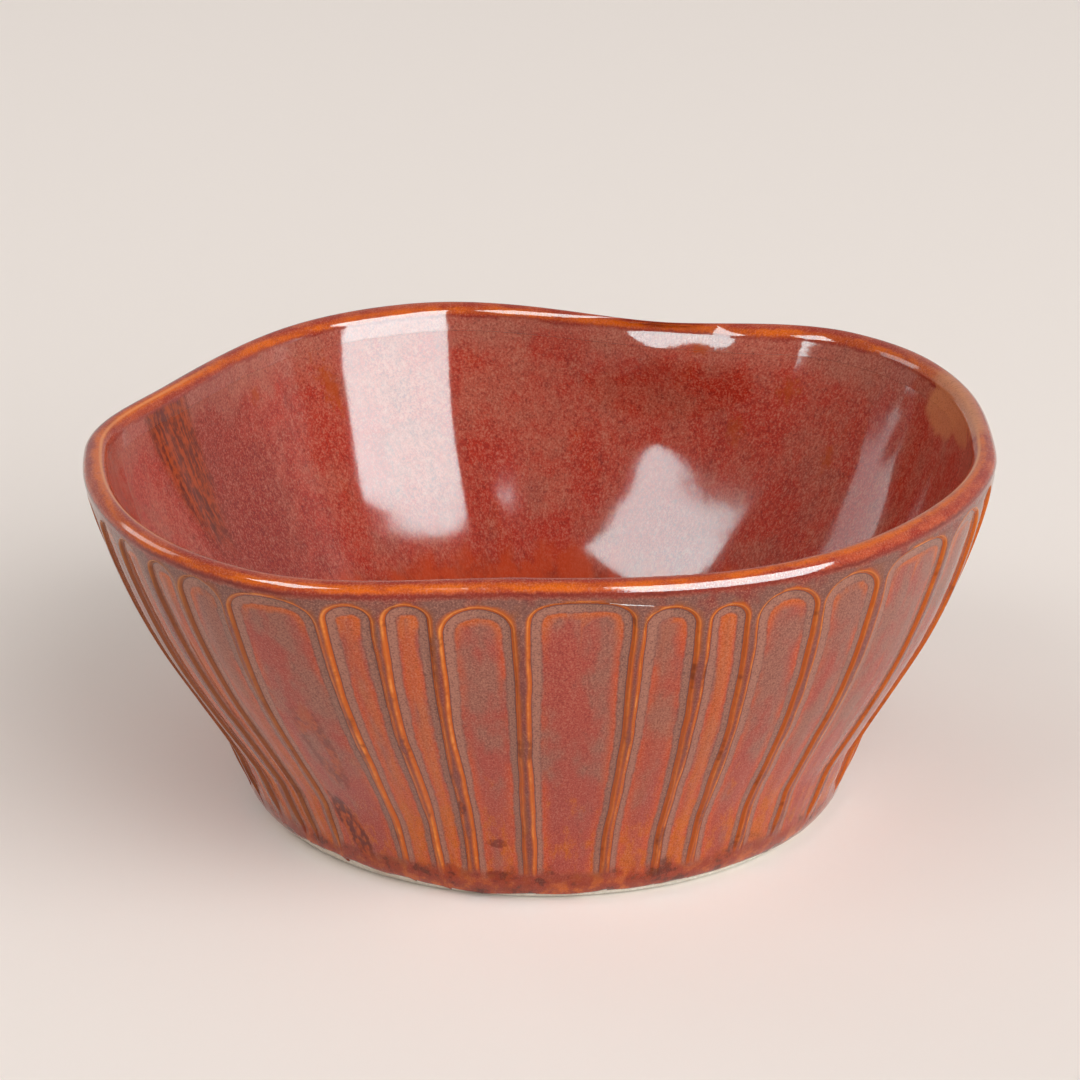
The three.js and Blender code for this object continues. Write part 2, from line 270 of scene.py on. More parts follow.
def fluteGrid():
    # Arrays of rows by flutes by columns: angle, height, distance in from the crest and past the foot of
    # the steep side, width of the half flute, place between the left and the right edge, and width of
    # the steep side. Rows follow each arch, and columns follow the edges.
    width, land, lean, top = np.array(fluting["flutes"], float).T
    start = fluting["first"] + np.concatenate([[0], np.cumsum(width + land)[:-1]])
    halfRim = np.radians(width / 2) * bowl["lipMiddle"]
    archShare, archMost = fluting["arch"]
    archHeight = np.minimum(archShare * halfRim, archMost)
    power, morePower = fluting["archPower"]
    power = power + morePower * smoothStep(*fluting["archWide"], halfRim)
    archFoot = top - archHeight
    middleFoot = footLineAt(start + width / 2)

    shares = np.concatenate([fluting["footRows"], np.linspace(*fluting["bodyRows"])])
    bodyHeights = middleFoot + (archFoot - middleFoot) * shares[:, None]
    opens = np.array(fluting["archOpens"])[:, None]
    archHeights = top - archHeight * (1 - (1 - opens**power) ** (1 / power))
    lifts = np.array(fluting["topRows"])[:, None]
    heights = np.vstack([bodyHeights, archHeights, top + (bowl["bandFoot"] - top) * lifts])
    openness = np.vstack([np.ones((len(shares), 1)), opens, opens[-1] + fluting["topOpens"] * lifts])

    fall = 1 - heights / bowl["height"]
    flute = np.arange(len(width))[None, :]
    wander = 0
    for seed, (reach, gap) in enumerate(fluting["wobbles"]):
        pick = np.random.default_rng(fluting["wobbleSeed"] + seed)
        stray = pick.uniform(-reach, reach, (2, int(bowl["height"] / gap) + 3, len(width)))
        knot = heights / gap
        below = knot.astype(int)
        ease = smoothStep(0, 1, knot - below)
        wander = wander + stray[:, below, flute] * (1 - ease) + stray[:, below + 1, flute] * ease
    roundRadius = smoothThrough(bowl["outerWall"], heights)
    left = start + lean * fall + np.degrees(wander[0] / roundRadius)
    right = start + width + np.roll(lean, -1) * fall + np.degrees(wander[1] / roundRadius)
    middle = (left + right) / 2
    half = (right - left) / 2
    localRadius = wallRadius(middle, heights, roundRadius)
    halfWidth = np.radians(half) * localRadius

    crowding = np.minimum(1, halfWidth / fluting["crowded"])
    share = 1 - np.array(fluting["edgeColumns"]) * (crowding / halfWidth)[..., None]
    rightShares = np.concatenate([share, share[..., -1:] * np.array(fluting["middleColumns"])], axis=-1)
    across = np.concatenate([-rightShares, 0 * half[..., None], rightShares[..., ::-1]], axis=-1)
    inAngles = middle[..., None] + across * (half * openness)[..., None]
    nextLeft = np.roll((middle - half * openness), -1, axis=1)
    nextLeft[:, -1] += 360
    nextHeights = np.roll(heights, -1, axis=1)
    landWidth = np.radians(nextLeft - inAngles[..., -1]) * localRadius
    steepWidth = np.minimum(fluting["steep"][0], fluting["steep"][1] * landWidth)
    up = np.array(fluting["steepColumns"]) * (steepWidth / landWidth)[..., None]
    w = np.concatenate([up, 0.5 + 0 * up[..., :1], 1 - up[..., ::-1]], axis=-1)
    landAngles = inAngles[..., -1:] + (nextLeft - inAngles[..., -1])[..., None] * w
    landHeights = heights[..., None] + (nextHeights - heights)[..., None] * w
    angles = np.concatenate([inAngles, landAngles], axis=-1)
    levels = np.concatenate([heights[..., None] + 0 * inAngles, landHeights], axis=-1)
    leftRight = np.concatenate([across, 1 - 2 * w], axis=-1)

    def inside(shift):
        # Distance in from the edge of this flute, or of the next one, and the share by which that edge
        # faces up. With x across and y above the arch's foot, F = (|x/a|^p + |y/b|^p)^(1/p) is 1 on the
        # outline, and (1 - F) over the length of F's gradient is the distance. The gradient is kept from
        # vanishing at the middle.
        pick = lambda values: np.roll(values, -shift, axis=-1)
        turn = 360.0 * shift * (flute >= len(width) - shift)
        centre = (pick(middle) + turn)[..., None]
        a = pick(halfWidth)[..., None]
        b = pick(archHeight)[None, :, None]
        p = pick(power)[None, :, None]
        x = np.abs(np.radians(angles - centre) * wallRadius(angles, levels, roundRadius[..., None])) / a
        y = np.clip(levels - pick(archFoot)[None, :, None], 0, None) / b
        F = np.maximum((x**p + y**p) ** (1 / p), 1e-3)
        gx, gy = x ** (p - 1) / a, y ** (p - 1) / b
        slope = np.maximum(np.hypot(gx, gy), 1e-6)
        return (1 - F) / np.maximum(F ** (1 - p) * slope, 0.3 / a), (gy / slope) ** 2

    isLand = np.arange(angles.shape[-1]) >= across.shape[-1]
    ownDistance, ownUp = inside(0)
    nextDistance, nextUp = inside(1)
    useNext = isLand & (nextDistance > ownDistance)
    pastFoot = np.where(useNext, nextDistance, ownDistance)
    facesUp = np.where(useNext, nextUp, ownUp)
    steepLeft = np.roll(steepWidth, 1, axis=1)[..., None]
    steepOwn = steepWidth[..., None] + 0 * angles
    toRight = smoothStep(-fluting["sideTurn"], fluting["sideTurn"], leftRight)
    steep = np.where(isLand, steepOwn, steepLeft + (steepOwn - steepLeft) * toRight)
    pastCrest = pastFoot + steep * (1 - facesUp)

    footShift = footLineAt(angles) - middleFoot[None, :, None]
    follow = np.exp(-np.clip(levels - middleFoot[None, :, None], 0, None) / footLine["raggedReach"])
    return angles, levels + footShift * follow, pastCrest, halfWidth[..., None] + 0 * angles, leftRight, steep


def outerCoat():
    # Radius = wall + push + burr + swell - cut. Down the steep side the cut is depth * (1 - (1 - s)^p),
    # where s is the share of the side and p its power. Then the floor falls by the dish and rises by the
    # crown towards its middle. The lower edge rounds off: a quarter circle along the height.
    angles, levels, pastCrest, half, leftRight, steep = fluteGrid()
    flutes = len(fluting["flutes"])
    pick = np.random.default_rng(fluting["cutSeed"])
    depth = fluting["depth"] * pick.uniform(*fluting["depthShares"], flutes)[None, :, None]
    runOut = pick.uniform(*fluting["fadeShift"], flutes)[None, :, None]
    fade = smoothStep(fluting["fade"][0] + runOut, fluting["fade"][1] + runOut, levels)
    pastFoot = pastCrest - steep
    s = np.clip(pastCrest / steep, 0, 1)
    fall, fallWidth = fluting["dish"]
    dish = fall * smoothStep(0, fallWidth, pastFoot)
    rise, riseStart, leastWidth = fluting["crown"]
    crown = rise * smoothStep(0, 1, (pastFoot - riseStart) / np.maximum(half - riseStart, leastWidth))
    cut = depth * fade * (1 - (1 - s) ** fluting["steepPower"] + dish - crown)
    high, out, reach = fluting["burr"]
    burr = high * fade * np.exp(-(((pastCrest + out) / reach) ** 2))
    level, reach, high = footLine["swell"]
    swell = high * np.exp(-(((levels - level) / reach) ** 2))
    radius = wallRadius(angles, levels, smoothThrough(bowl["outerWall"], levels)) - cut + burr + swell
    above = np.clip((levels - levels[:1]) / footLine["bead"], 0, 1)
    bead = bowl["coat"] * (1 - np.sqrt(1 - (1 - above) ** 2))

    upward = smoothStep(*fluting["bandHeights"], levels)
    leftBand, rightBand = (low + (high - low) * upward
                           for low, high in (fluting["bandLeft"], fluting["bandRight"]))
    toRight = smoothStep(-fluting["bandTurn"], fluting["bandTurn"], leftRight)
    band = np.minimum(leftBand + (rightBand - leftBand) * toRight, fluting["bandMost"] * half)

    flat = lambda values: values.reshape(values.shape[0], -1)
    face = placed(flat(angles), flat(radius - bead), flat(levels))
    rows = len(face)
    backRows = np.unique(np.linspace(0, rows - 1, fluting["backRows"]).astype(int))[::-1]
    back = placed(flat(angles), flat(radius - bowl["coat"]), flat(levels))[backRows]
    twice = lambda values: np.concatenate([flat(values), flat(values)[backRows]])
    attributes = {
        "pastCrest": twice(pastCrest),
        "pastFoot": twice(pastFoot),
        "intoFloor": twice(pastFoot - band),
        "leftRight": twice(leftRight),
        "narrow": twice(1 - smoothStep(*fluting["narrow"], half)),
        "cutShare": twice(fade),
    }
    around = unrolled(flat(angles), flat(levels))
    attributes["unrolled"] = np.concatenate([around, around[backRows]])
    last = rows + len(backRows) - 1
    return skinObject("outerCoat", np.concatenate([face, back]), ring=True,
                      sharpRows=(0, rows - 1, rows, last), attributes=attributes)


def innerPath(steps, fromHeight, fineSteps=2000):
    # The inner wall's radius and height at even steps from a height down to the middle of the floor: a
    # smooth curve through the stops, by its length along them
    radii, heights = np.array(bowl["innerWall"], float).T
    along = np.concatenate([[0], np.cumsum(np.hypot(np.diff(radii), np.diff(heights)))])
    fine = np.linspace(0, along[-1], fineSteps)
    r = smoothThrough(list(zip(along, radii)), fine)
    z = smoothThrough(list(zip(along, heights)), fine)
    begin = fine[np.argmax(z <= fromHeight)]
    at = np.linspace(begin, along[-1], steps)
    return np.interp(at, fine, r), np.interp(at, fine, z)


def pathNormals(radii, heights):
    # The way out of the glaze, square to a path that runs up the outside and down the inside
    dr, dz = np.gradient(radii), np.gradient(heights)
    length = np.hypot(dr, dz)
    return dz / length, -dr / length


creases = {  # ridges left inside where the wall was pushed
    # angle, degrees round for each millimetre down, height, reach, rise
    "ridges": [(163, -0.25, 52, 14, 0.4), (31, 0.125, 56, 12, 0.12)],
    "halfWidth": 2.2,
    "radius": 72,  # of the wall there
}


def creaseAt(angle, height):
    # The rise of the ridges: a bell across each line, and a bell along it
    total = 0
    for at, lean, middle, reach, rise in creases["ridges"]:
        off = (angle - at - lean * (middle - height) + 180) % 360 - 180
        across = np.radians(off) * creases["radius"] / creases["halfWidth"]
        total = total + rise * np.exp(-across**2) * np.exp(-(((height - middle) / reach) ** 2))
    return total


def smoothCoat(name, radii, heights, columns, backStep, closedFloor, attributesOf):
    # A coat on the smooth wall: the path turned round the bowl with its push, then its back, moved in
    # by the coat's thickness
    nr, nz = pathNormals(radii, heights)
    angle = np.linspace(0, 360, columns, endpoint=False)[None, :]
    r, z = radii[:, None], heights[:, None]
    ridge = creaseAt(angle, z) * (np.arange(len(radii))[:, None] > 0) if closedFloor else 0
    outside = smoothStep(*bowl["wavesFace"], nr)[:, None]
    inside = np.clip(-nr, 0, 1)[:, None]
    face = placed(angle, wallRadius(angle, z, r, outside, inside) - ridge, z + 0 * angle)
    backRows = np.unique(np.append(np.arange(0, len(radii), backStep), len(radii) - 1))
    if closedFloor:
        backRows = backRows[:-1]
        face = face[:-1]
    thick = bowl["coat"]
    backRadius = wallRadius(angle, z, r - thick * nr[:, None], outside, inside) - ridge
    back = placed(angle, backRadius, z - thick * nz[:, None] + 0 * angle)[backRows][::-1]
    values = attributesOf(angle, z)
    if closedFloor:
        points = np.concatenate([back, face])
        attributes = {k: np.concatenate([v[backRows][::-1], v[:-1]]) for k, v in values.items()}
        middle = placed(np.array(0.0), np.array(0.0), np.array(heights[-1]))
        below = middle - [0, 0, thick * mm]
        border = len(back) - 1
        return skinObject(name, points, poles=[(0, below), (len(points) - 1, middle)],
                          sharpRows=(border, border + 1), attributes=attributes)
    points = np.concatenate([face, back])
    attributes = {k: np.concatenate([v, v[backRows][::-1]]) for k, v in values.items()}
    rows = len(face)
    return skinObject(name, points, ring=True, sharpRows=(0, rows - 1, rows, len(points) - 1),
                      attributes=attributes)


lipRows = {
    "outside": 3,  # rows of points below the half round
    "over": 27,
    "insideSteps": 600,  # fine steps of the inner wall, and how many of them a row takes
    "insideStride": 4,
    "tuck": 0.25,  # how far below the half round the inner ones begin
    "columns": 900,
    "backStep": 4,  # rows of the face for each row of the back
}


def lipCoat():
    # Up from the outer coat, half round over the lip, and down to the inner coat
    turn = np.radians(np.linspace(0, 180, lipRows["over"]))
    outerHeights = np.linspace(bowl["bandFoot"], bowl["lipSpring"], lipRows["outside"])[:-1]
    innerRadii, innerHeights = innerPath(lipRows["insideSteps"], bowl["lipSpring"] - lipRows["tuck"])
    above = (innerHeights > bowl["linerTop"]).sum()
    stride = np.arange(0, above, lipRows["insideStride"])
    radii = np.concatenate([smoothThrough(bowl["outerWall"], outerHeights),
                            bowl["lipMiddle"] + bowl["lipHalf"] * np.cos(turn), innerRadii[stride]])
    heights = np.concatenate([outerHeights,
                              bowl["lipSpring"] + bowl["lipHalf"] * np.sin(turn), innerHeights[stride]])
    radii = np.append(radii, innerPath(2, bowl["linerTop"])[0][0])
    heights = np.append(heights, bowl["linerTop"])
    along = np.concatenate([[0], np.cumsum(np.hypot(np.diff(radii), np.diff(heights)))])
    crest = along[len(outerHeights) + len(turn) // 2]

    def attributesOf(angle, z):
        over = along[:, None] + 0 * angle
        return {"pastLip": over - crest, "amberMiddle": easeRound(bowl["amberMiddle"], angle) + 0 * z,
                "innerEdgeHighlight": easeRound(bowl["innerEdgeHighlight"], angle) + 0 * z,
                "unrolled": unrolled(angle + 0 * z, bowl["bandFoot"] + over),
                "unrolledInside": unrolled(angle + 0 * z, z + 0 * angle)}
    return smoothCoat("lipCoat", radii, heights, lipRows["columns"], lipRows["backStep"], False, attributesOf)


liner = {
    "rows": 100, "columns": 720,
    "backStep": 8,
    "patternReach": 51.5,  # radius from which the pattern closes in to the middle of the floor
}


def innerCoat():
    # Down the inner wall and across the floor to its middle
    radii, heights = innerPath(liner["rows"], bowl["linerTop"])
    share = np.minimum(1, radii / liner["patternReach"])[:, None]

    def attributesOf(angle, z):
        return {"unrolled": unrolled(angle + 0 * z, z + 0 * angle, share)}
    return smoothCoat("innerCoat", radii, heights, liner["columns"], liner["backStep"], True, attributesOf)


foot = {
    # Radii from the outside in, and how far up the floor of the hollow is
    "outer": 50.5, "flatOuter": 49.3, "flatInner": 43.2, "hollow": 40.5, "hollowHeight": 2.6,
    "round": 0.9,  # height of the rounded outer edge
    "hollowRadii": (2, 39.5, 12),  # rows of points: from, to, and how many
    "slopeRows": 10, "flatRows": 8, "roundRows": 9,
    "flatInset": 0.4,  # how far the rows of the flat stand off its edges
    "wallHeights": [(1.2, 6, 14), (8, 64.6, 22)],
    "top": (0.35, 0.2),  # how far in and up the topmost row stands
    "insideRows": (24, 62.5),  # how many, and the height that they start from
    "columns": 480,
    "hidden": 1.85,  # how far the clay lies under the glaze where flutes are cut
    "hiddenStart": (3.6, 6.5),
}


def clayBody():
    # The hollow, its slope and the flat of the foot ring, a quarter round up to the strip that shows
    # under the glaze, then the wall beneath the glaze, up outside and down inside
    hollow, flatInner, flatOuter = foot["hollow"], foot["flatInner"], foot["flatOuter"]
    hollowRadii = np.linspace(*foot["hollowRadii"])
    slope = np.linspace(0, 1, foot["slopeRows"])
    flat = np.linspace(flatInner + foot["flatInset"], flatOuter - foot["flatInset"], foot["flatRows"])
    quarter = np.radians(np.linspace(0, 90, foot["roundRows"]))
    wallHeights = np.concatenate([np.linspace(*rows) for rows in foot["wallHeights"]])
    hidden = smoothStep(*foot["hiddenStart"], wallHeights)
    wallInset = bowl["coat"] + (foot["hidden"] - bowl["coat"]) * hidden
    wallRadii = smoothThrough(bowl["outerWall"], wallHeights) - wallInset
    innerRadii, innerHeights = innerPath(*foot["insideRows"])
    nr, nz = pathNormals(innerRadii, innerHeights)
    sections = [
        (hollowRadii, foot["hollowHeight"] + 0 * hollowRadii),
        (hollow + (flatInner - hollow) * slope, foot["hollowHeight"] * (1 - smoothStep(0, 1, slope))),
        (flat, 0 * flat),
        (flatOuter + (foot["outer"] - flatOuter) * np.sin(quarter), foot["round"] * (1 - np.cos(quarter))),
        (wallRadii, wallHeights),
        ([wallRadii[-1] - foot["top"][0]], [wallHeights[-1] + foot["top"][1]]),
        ((innerRadii - bowl["coat"] * nr)[:-1], (innerHeights - bowl["coat"] * nz)[:-1]),
    ]
    radii, heights = (np.concatenate(values)[:, None] for values in zip(*sections))
    angle = np.linspace(0, 360, foot["columns"], endpoint=False)[None, :]
    inside = np.zeros((len(radii), 1))
    inside[-len(innerRadii) - 1:] = 0.5
    inside[1 - len(innerRadii):] = 1
    points = placed(angle, wallRadius(angle, heights, radii, 1.0, inside), heights + 0 * angle)
    centre = lambda height: placed(np.array(0.0), np.array(0.0), np.array(height))
    poles = [(0, centre(foot["hollowHeight"])), (len(radii) - 1, centre(innerHeights[-1] - bowl["coat"]))]
    return skinObject("clayBody", points, poles=poles)


class Wire:
    # A socket in a material. Arithmetic with numbers and other wires adds Math nodes.
    def __init__(self, shop, socket):
        self.shop = shop
        self.socket = socket

    def math(self, operation, first, second=0.0):
        return self.shop.node("ShaderNodeMath", {"operation": operation}, {0: first, 1: second})

    def __add__(self, other):
        return self.math("ADD", self, other)

    def __radd__(self, other):
        return self.math("ADD", other, self)

    def __sub__(self, other):
        return self.math("SUBTRACT", self, other)

    def __rsub__(self, other):
        return self.math("SUBTRACT", other, self)

    def __mul__(self, other):
        return self.math("MULTIPLY", self, other)

    def __rmul__(self, other):
        return self.math("MULTIPLY", other, self)


class Finish:
    # A material, or the world, whose nodes are added by name of type, settings and socket values or links
    def __init__(self, owner):
        self.owner = owner
        owner.use_nodes = True
        self.tree = owner.node_tree
        self.tree.nodes.clear()

    def node(self, kind, settings=None, inputs=None, output=0):
        node = self.tree.nodes.new(kind)
        for key, value in (settings or {}).items():
            setattr(node, key, value)
        for key, value in (inputs or {}).items():
            if isinstance(value, Wire):
                self.tree.links.new(value.socket, node.inputs[key])
            else:
                node.inputs[key].default_value = value
        return Wire(self, node.outputs[output]) if len(node.outputs) else node

    def attribute(self, name, output="Fac"):
        return self.node("ShaderNodeAttribute", {"attribute_name": name}, {}, output)

    def noise(self, vector, scale, detail=3, roughness=0.6):
        return self.node("ShaderNodeTexNoise", {}, {"Vector": vector, "Scale": scale, "Detail": detail,
                                                    "Roughness": roughness})

    def stretch(self, vector, scale):
        return self.node("ShaderNodeVectorMath", {"operation": "MULTIPLY"}, {0: vector, 1: scale})

    def clouds(self, vector, upright, scale, detail=3, roughness=0.6):
        # Noise that is drawn out along the height where upright is less than 1
        return self.noise(self.stretch(vector, (1, 1, upright)), scale, detail, roughness)

    def mix(self, first, second, factor):
        return self.node("ShaderNodeMix", {"data_type": "RGBA"}, {0: factor, 6: first, 7: second}, 2)

    def step(self, value, low, high):
        return self.node("ShaderNodeMapRange", {"interpolation_type": "SMOOTHSTEP"},
                         {"Value": value, "From Min": low, "From Max": high})

    def band(self, value, low, high, soft):
        return self.step(value, low - soft, low + soft) * self.step(value, high + soft, high - soft)

    def leaned(self, where, angle, height, lean):
        # The way from a place on the wall, slid round by the lean times the height above the place
        turn = math.radians(angle)
        place = tuple(unrolled(angle, height))
        away = self.node("ShaderNodeVectorMath", {"operation": "SUBTRACT"}, {0: where, 1: place})
        up = self.node("ShaderNodeSeparateXYZ", {}, {0: away}, "Z")
        along = (-math.sin(turn) * lean, math.cos(turn) * lean, 0)
        slide = self.node("ShaderNodeVectorMath", {"operation": "SCALE"}, {0: along, "Scale": up})
        return self.node("ShaderNodeVectorMath", {"operation": "SUBTRACT"}, {0: away, 1: slide})

    def reach(self, away, wide, tall):
        # How far out of an ellipse with these half sizes a point is: 1 on the ellipse
        shaped = self.stretch(away, (1 / wide, 1 / wide, 1 / tall))
        return self.node("ShaderNodeVectorMath", {"operation": "LENGTH"}, {0: shaped}, "Value")

    def outOf(self, where, angle, height, wide, tall, lean=0):
        # The same for an ellipse at a place on the wall
        return self.reach(self.leaned(where, angle, height, lean), wide, tall)

    def surface(self, colour, roughness, normal=None, **constants):
        inputs = {"Base Color": colour, "Roughness": roughness, **constants}
        if normal:
            inputs["Normal"] = normal
        shader = self.node("ShaderNodeBsdfPrincipled", {}, inputs)
        self.node("ShaderNodeOutputMaterial", {}, {"Surface": shader})
        return self.owner


def tone(red, green, blue):
    # A colour as it looks on a screen, 0 to 255, as the linear colour that a shader takes
    screen = np.array([red, green, blue]) / 255
    linear = np.where(screen <= 0.04045, screen / 12.92, ((screen + 0.055) / 1.055) ** 2.4)
    return (*linear.tolist(), 1.0)


glaze = {
    "landGrey": tone(126, 82, 72), "landRed": tone(136, 56, 46), "landBrown": tone(125, 58, 51),
    # The olive side colour is painted shade on the land beside each flute's right crest
    "sideAmber": tone(178, 80, 18), "sideBrown": tone(120, 50, 14), "sideShadeOlive": tone(144, 78, 36),
    # The next colour is painted shade: the amber as it looks where the far left side lies in shade
    "sideShadedAmber": tone(128, 74, 46),
    # The pale crest colour is partly pale thin glaze and partly a painted highlight on the crests
    "crestPaleGlint": tone(236, 148, 66), "line": tone(78, 42, 48),
    # The left band is lighter than the right: painted light and shade on one grey glaze, lit from the right
    "bandLeft": tone(158, 107, 91), "bandRight": tone(144, 99, 85),
    "floorGrey": tone(147, 92, 78), "floorRed": tone(163, 71, 59), "floorBorder": tone(195, 78, 38),
    "floorAmber": tone(197, 97, 37),
    "crackle": tone(192, 96, 16),
    "footBrown": tone(150, 53, 26), "footAmber": tone(202, 95, 22), "footDark": tone(88, 32, 18),
    "lipAmber": tone(214, 98, 4), "lipRed": tone(160, 52, 34), "lipBody": tone(184, 78, 46),
    # The pale lip colour is a painted highlight along the lip's inner edge
    "lipDark": tone(104, 30, 26), "lipHighlight": tone(232, 150, 90),
    "insideRed": tone(174, 46, 28), "insideBeige": tone(176, 94, 74), "insideDark": tone(116, 38, 34),
    "insideOrange": tone(178, 56, 20), "insideDeep": tone(134, 28, 10), "insideWash": tone(168, 106, 88),
    "poolAmber": tone(182, 62, 18),
    "streakBrown": tone(92, 26, 4), "streakAmber": tone(168, 66, 0),
    "stainDark": tone(96, 28, 14), "stainAmber": tone(176, 74, 14),
    # The tan colour is partly tan glaze and partly a painted highlight on the lip's inner shoulder
    "speckDark": tone(70, 28, 30), "speckLight": tone(188, 130, 106), "edgeTanSheen": tone(206, 130, 84),
    "gloss": 0.085,
    "satin": 0.22,  # roughness added where crystals make the left wall inside satin
    "bend": 1.34,  # index of refraction outside and on the lip
    "bendInside": 1.3,
    "grain": 3.3,  # fine crystals, in cells per millimetre
    "dimples": 0.00006, "dimplesLip": 0.00003, "dimplesInside": 0.000012,  # depths in metres
    # Lines along a flute, in millimetres in from its crest, its side's foot or its floor: from, to, softness.
    # The crest lines are partly painted highlight, the foot line painted shade
    "crestLine": (-0.25, 0.14, 0.14), "topLine": (-0.14, 0.06, 0.12),
    "footLine": (0.02, 0.16, 0.09), "floorLine": (-0.2, 0.05, 0.2),
    # The same along the lip, past the amber line's middle or past the crest, less than 0 outside. The line
    # just inside the crest is a painted highlight
    "amberLine": (-0.65, 0.75, 0.45), "innerEdgeHighlight": (0.65, 1.2, 0.2), "edgeLine": (-3.6, -2.7, 0.4),
    # Heights at which a colour begins and at which it is full
    "low": (40, 12), "top": (54, 59), "brownLand": (60, 46), "run": (8.5, 4.0),
    "crackleStart": (42, 20), "crackleMore": (30, 8), "wash": (55, 62), "pool": (25, 20),
    # Places: angle, height, half width, half height, lean. The first is painted shade over the far left of
    # the outer wall
    "leftShade": (205, 40, 46, 80, 0), "deep": (149, 40, 22, 30, 0.2), "satinAt": (155, 38, 36, 60, 0),
    "streak": (161.8, 60, 7.8, 24, 0.26),
    # The same and strength
    "insideSpots": [(122.4, 54, 2.6, 6.0, 0.3, 0.7), (137.7, 57, 1.6, 1.8, 0, 0.6),
                    (65.5, 61.6, 2.0, 1.6, 0, 0.7),
                    (58.9, 46.5, 2.2, 3.0, 0.1, 0.5),
                    (52, 55, 2.6, 2.6, 0, 0.6), (42, 45, 1.8, 2.4, 0, 0.6)],
    # Tan patches on the right of the lip: partly tan glaze, partly painted highlight
    "tanSheenEdges": [(20, 60.5, 8.5, 3.9, 0, 0.75), (11, 62.3, 10.0, 3.0, 0, 0.75), (13, 65.4, 18, 2.8, 0, 0.85)],
    # The same with the share of the middle that stays clear before the strength
    "stains": [(237.6, 31.5, 3.4, 9.5, -0.05, 0.55, 0.45), (235.4, 11.0, 3.0, 7.5, -0.35, 0.0, 0.9),
               (262.0, 12.5, 2.4, 0.8, 0.0, 0.0, 0.6), (253.0, 5.6, 2.6, 1.6, 0.0, 0.0, 0.8),
               (262.0, 5.6, 3.4, 1.0, 0.0, 0.0, 0.8), (257.0, 20.5, 0.8, 1.4, 0.0, 0.0, 0.7)],
}


def grained(finish, where, colour, amount=1.0, scale=1.0):
    # Fine crystals in the glaze: the colour goes to a darker and to a lighter one by one fine noise
    grain = finish.noise(where, glaze["grain"] * scale, 3, 0.65)
    for speck, full in (("speckDark", 0.34), ("speckLight", 0.66)):
        colour = finish.mix(colour, glaze[speck], finish.step(grain, 0.5, full) * (0.5 * amount))
    return colour


def lipColour(finish, where, out, below, inside):
    # The thin glaze over the lip: red, with an amber line along it and a dark one at its lower edge. Out
    # is the distance past the crest, less than 0 outside. Below and inside are the colours beside it.
    mix, step, band = finish.mix, finish.step, finish.band
    drift = finish.clouds(where, 2.4, 0.13)
    fine = finish.noise(where, 0.9)
    ragged = out + (fine - 0.5) * 0.9 + (drift - 0.5) * 0.8
    red = grained(finish, where, mix(glaze["lipRed"], glaze["lipBody"], step(drift, 0.4, 0.6)), 0.8)
    line = band(ragged - finish.attribute("amberMiddle"), *glaze["amberLine"])
    share = line * (step(drift + fine * 0.25, 0.5, 0.68) * 0.5 + 0.4)
    amber = grained(finish, where, glaze["lipAmber"], 0.5)
    lip = mix(red, amber, share * (1 - step(fine, 0.52, 0.68) * 0.45))
    # Painted highlight: a pale line along the lip's inner edge
    pale = band(out, *glaze["innerEdgeHighlight"]) * finish.attribute("innerEdgeHighlight")
    lip = mix(lip, glaze["lipHighlight"], pale * 0.55)
    dark = band(ragged, *glaze["edgeLine"]) * (step(drift, 0.4, 0.6) * 0.4 + 0.45)
    lip = mix(lip, glaze["lipDark"], dark)
    inner = out + (fine - 0.5) * 0.9 + (drift - 0.5) * 2.4
    lip = mix(lip, glaze["lipDark"], step(inner, 2.6, 3.3) * 0.4)
    lip = mix(lip, below, step(ragged, -3.1, -4.2))
    return mix(lip, inside, step(inner, 3.0, 3.8))


def landColour(finish, where):
    # The glaze of the outer wall where nothing is cut: purple grey clouded with red
    redness = finish.step(finish.clouds(where, 0.7, 0.16), 0.46, 0.7)
    return grained(finish, where, finish.mix(glaze["landGrey"], glaze["landRed"], redness), 0.8)


def linerColour(finish, where):
    # The glaze of the inside: red, beige and dark clouds, each a smooth noise of its own size
    mix, step, noise = finish.mix, finish.step, finish.noise
    small = noise(where, 0.3)
    beige = step(noise(where, 0.085, 2, 0.5) * 0.6 + small * 0.4, 0.4, 0.66)
    colour = mix(glaze["insideRed"], glaze["insideBeige"], beige * 0.7)
    colour = mix(colour, glaze["insideDark"], step(noise(where, 0.17), 0.5, 0.75) * 0.3)
    orange = finish.clouds(where, 0.6, 0.11, 4, 0.7)
    colour = mix(colour, glaze["insideOrange"], step(orange, 0.56, 0.74) * 0.6)
    deep = finish.outOf(where, *glaze["deep"]) + (small - 0.5) * 1.6
    colour = mix(colour, glaze["insideDeep"], step(deep, 1.2, 0.5) * 0.7)
    return grained(finish, where, grained(finish, where, colour, 0.5, 0.3), 0.9, 0.75)


def glossNormal(finish, where, depth):
    # The faint dimpling of a thick glaze
    dimples = finish.noise(where, 0.4, 2, 0.5) + finish.noise(where, 1.5, 2, 0.5) * 0.2
    bump = {"Height": dimples, "Strength": 1.0, "Distance": depth}
    return finish.node("ShaderNodeBump", {}, bump, "Normal")


